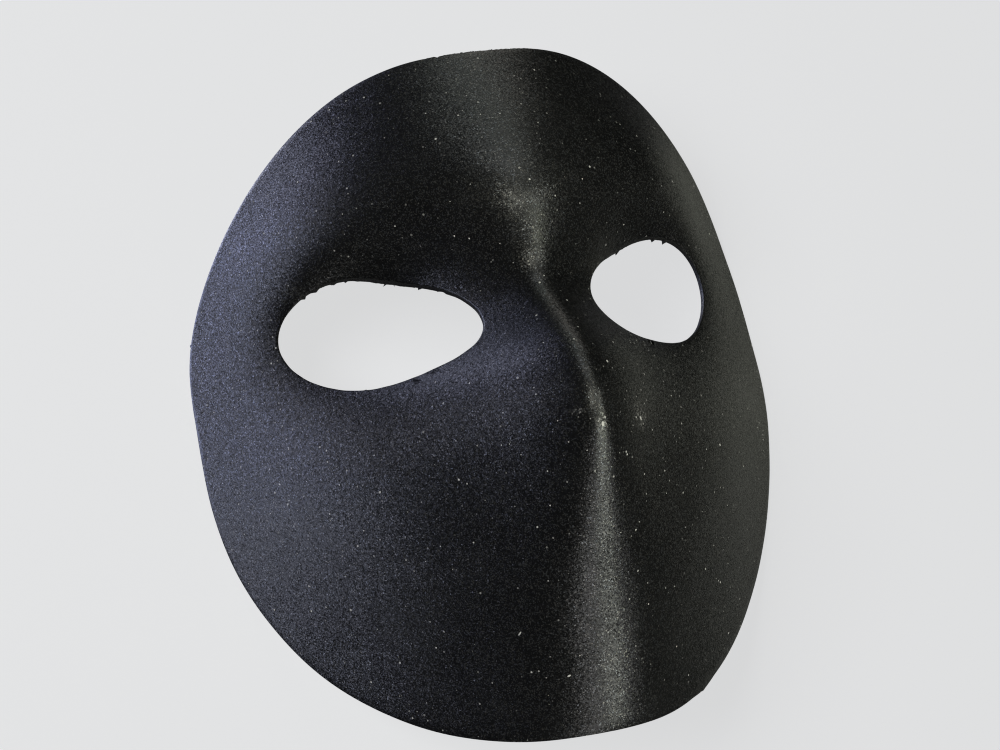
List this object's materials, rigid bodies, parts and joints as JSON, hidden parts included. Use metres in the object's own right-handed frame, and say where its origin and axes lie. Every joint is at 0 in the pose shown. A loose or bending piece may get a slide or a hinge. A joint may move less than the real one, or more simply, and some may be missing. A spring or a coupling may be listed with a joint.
{
  "type": "moretta mask",
  "caption": "Plain black moulded full-face mask with a sharp nose ridge, two tapered eye openings and no mouth, lying face up.",
  "frame": {"origin": "on the surface that the mask lies on, below the middle of its outline", "axes": "+Z out of the face, straight up as it lies; +Y from the chin to the crown; +X to the right as one looks at the face"},
  "size_m": [0.1748, 0.1902, 0.098],
  "materials": {
    "black_paper": "pressed paper, painted matt black, with a fine pebbled grain that glints a little, a thin dark cut edge and some dust"
  },
  "bodies": {
    "root": {"mask_shell": "black_paper"}
  },
  "joints": []
}
